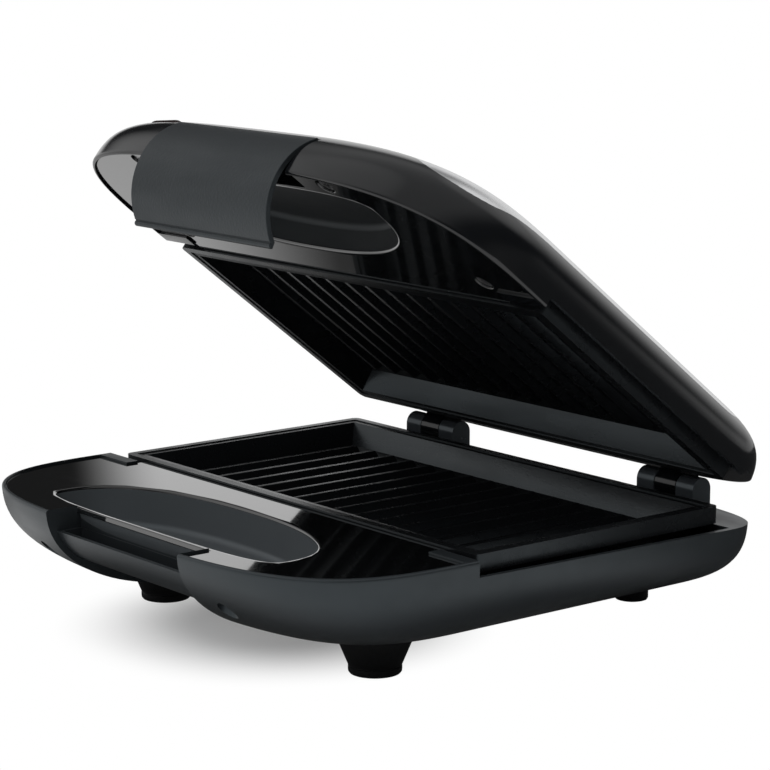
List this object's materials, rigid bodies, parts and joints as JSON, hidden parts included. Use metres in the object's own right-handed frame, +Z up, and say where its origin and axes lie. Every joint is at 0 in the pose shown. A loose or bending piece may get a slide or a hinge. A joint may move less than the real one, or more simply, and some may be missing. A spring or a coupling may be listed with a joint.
{
  "type": "sandwich toaster",
  "caption": "Countertop sandwich toaster: hinged clam-shell housings with ribbed plates, front clip and finger pockets, shown open.",
  "frame": {"origin": "on the table under the middle of the footprint, with the lid open as shown", "axes": "+X to the right, +Y towards the hinge, +Z up"},
  "size_m": [0.25, 0.2459, 0.2067],
  "materials": {
    "shell_satin": "satin, finely grained",
    "gloss_black": "high gloss",
    "nonstick": "cast, with a black non-stick coat",
    "shield": "plain sheet",
    "element": "dull tube",
    "steel": "bright",
    "foot": "matt",
    "ceramic_white": "matt",
    "cover_steel": "polished",
    "lens": "dark translucent",
    "lamp": "clear amber",
    "clip_black": "fine leather-like grain"
  },
  "bodies": {
    "base": {"base_shell": "shell_satin", "base_deck": "gloss_black", "base_plate": "nonstick", "base_heat_shield": "shield", "base_element": "element", "base_plate_screws": "steel", "base_deck_screws": "steel", "front_feet": "foot", "rear_feet": "foot", "cord_gland": "foot", "terminal_block": "ceramic_white", "thermostat": "steel", "hinge_pins": "steel"},
    "lid": {"lid_shell": "gloss_black", "lid_deck": "gloss_black", "lid_top_cover": "cover_steel", "lid_plate": "nonstick", "lid_heat_shield": "shield", "lid_element": "element", "lid_plate_screws": "steel", "lid_deck_screws": "steel", "thermal_fuse": "ceramic_white", "lamp_lens": "lens", "indicator_lamps": "lamp", "latch_pin": "steel"},
    "latch": {"latch_clip": "clip_black"}
  },
  "joints": [
    {"name": "lid_hinge", "type": "hinge", "parent": "base", "child": "lid", "pos_m": [0, 0.1082, 0.0539], "axis": [-1, 0, 0], "range_deg": [-37.7, 60]},
    {"name": "latch_pivot", "type": "hinge", "parent": "lid", "child": "latch", "pos_m": [0, -0.05745, 0.20206], "axis": [-1, 0, 0], "range_deg": [0, 25]}
  ]
}
